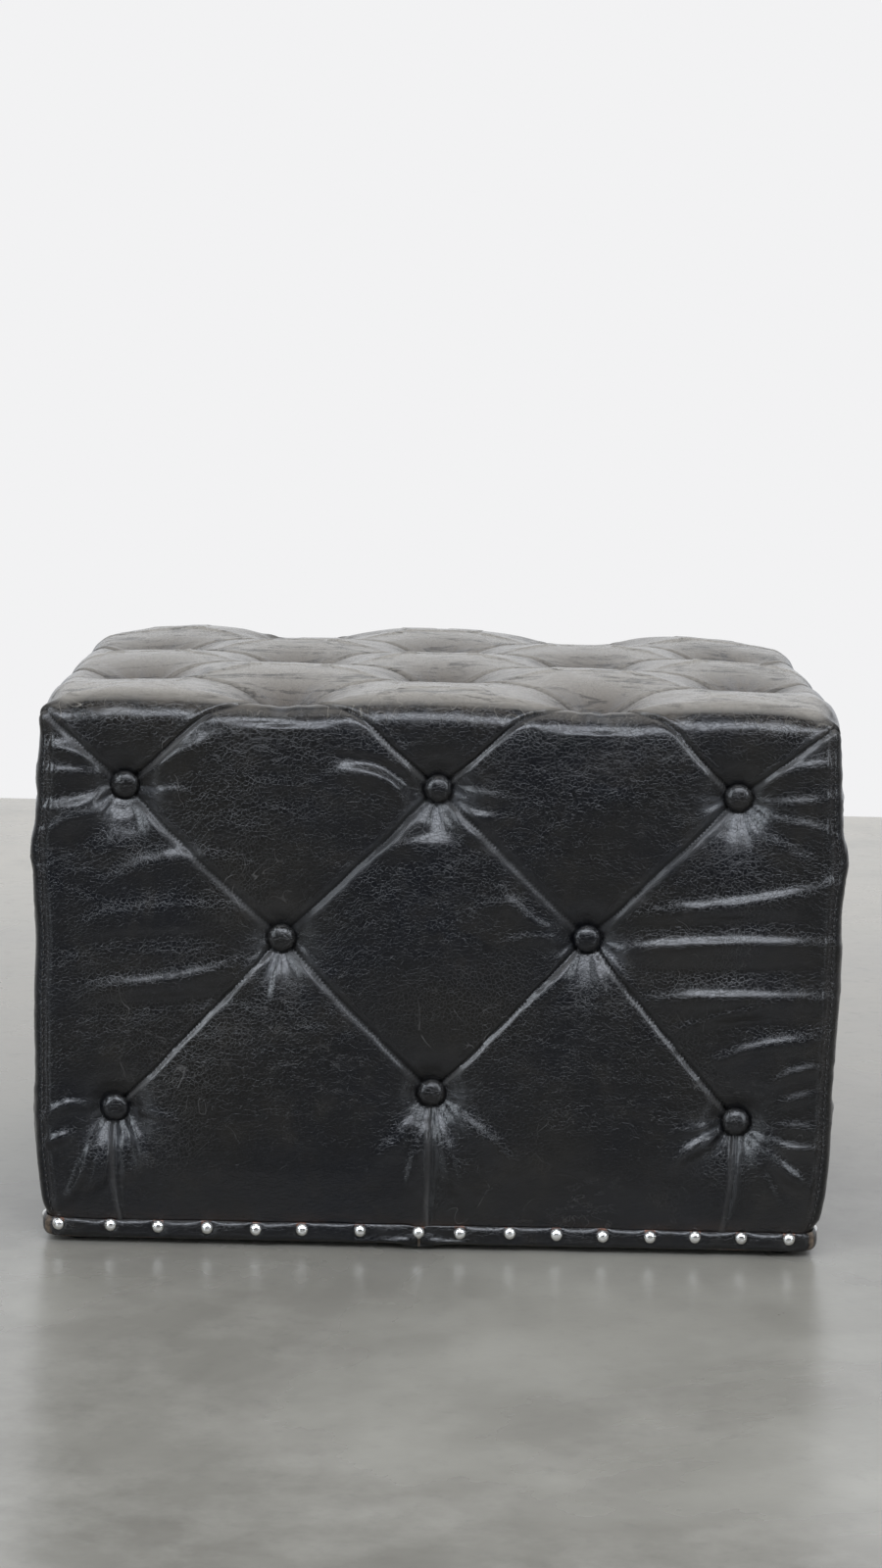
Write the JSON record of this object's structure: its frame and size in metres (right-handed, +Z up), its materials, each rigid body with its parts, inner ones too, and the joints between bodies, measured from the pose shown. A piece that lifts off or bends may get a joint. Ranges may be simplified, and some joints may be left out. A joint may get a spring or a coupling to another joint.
{
  "type": "tufted leather ottoman",
  "caption": "Low rectangular ottoman with a deep-buttoned leather cover over a padded wooden box, and a nailed leather band round its foot.",
  "frame": {"origin": "on the floor, under the middle of the ottoman", "axes": "+X to the right along the long side, +Y to the back, +Z up; the nailed band's joint is on the -Y side"},
  "size_m": [0.6, 0.42, 0.43],
  "materials": {
    "cover_leather": "satin",
    "band_leather": "satin",
    "button_leather": "satin",
    "nail_metal": "polished",
    "pine": "matte",
    "plywood": "matte",
    "foam": "matte",
    "cambric": "matte",
    "nylon": "satin"
  },
  "bodies": {
    "root": {"back_buttons": "button_leather", "base_rail_back": "pine", "base_rail_front": "pine", "base_rail_left": "pine", "base_rail_right": "pine", "corner_post_back_left": "pine", "corner_post_back_right": "pine", "corner_post_front_left": "pine", "corner_post_front_right": "pine", "dust_cover": "cambric", "foam_back": "foam", "foam_front": "foam", "foam_left": "foam", "foam_right": "foam", "front_button_row1_1": "button_leather", "front_button_row1_2": "button_leather", "front_button_row1_3": "button_leather", "front_button_row2_1": "button_leather", "front_button_row2_2": "button_leather", "front_button_row3_1": "button_leather", "front_button_row3_2": "button_leather", "front_button_row3_3": "button_leather", "glide_back_left": "nylon", "glide_back_right": "nylon", "glide_front_left": "nylon", "glide_front_right": "nylon", "glue_block_back_left": "pine", "glue_block_back_right": "pine", "glue_block_front_left": "pine", "glue_block_front_right": "pine", "leather_cover": "cover_leather", "left_buttons": "button_leather", "panel_back": "plywood", "panel_front": "plywood", "panel_left": "plywood", "panel_right": "plywood", "right_buttons": "button_leather", "seat_board": "plywood", "seat_cross_rail_left": "pine", "seat_cross_rail_right": "pine", "seat_foam": "foam", "top_button_row1_1": "button_leather", "top_button_row1_2": "button_leather", "top_button_row2_1": "button_leather", "top_button_row2_2": "button_leather", "top_button_row2_3": "button_leather", "top_button_row3_1": "button_leather", "top_button_row3_2": "button_leather", "top_button_row4_1": "button_leather", "top_button_row4_2": "button_leather", "top_button_row4_3": "button_leather", "top_button_row5_1": "button_leather", "top_button_row5_2": "button_leather", "top_rail_back": "pine", "top_rail_front": "pine", "top_rail_left": "pine", "top_rail_right": "pine", "trim_band": "band_leather"}
  },
  "joints": []
}
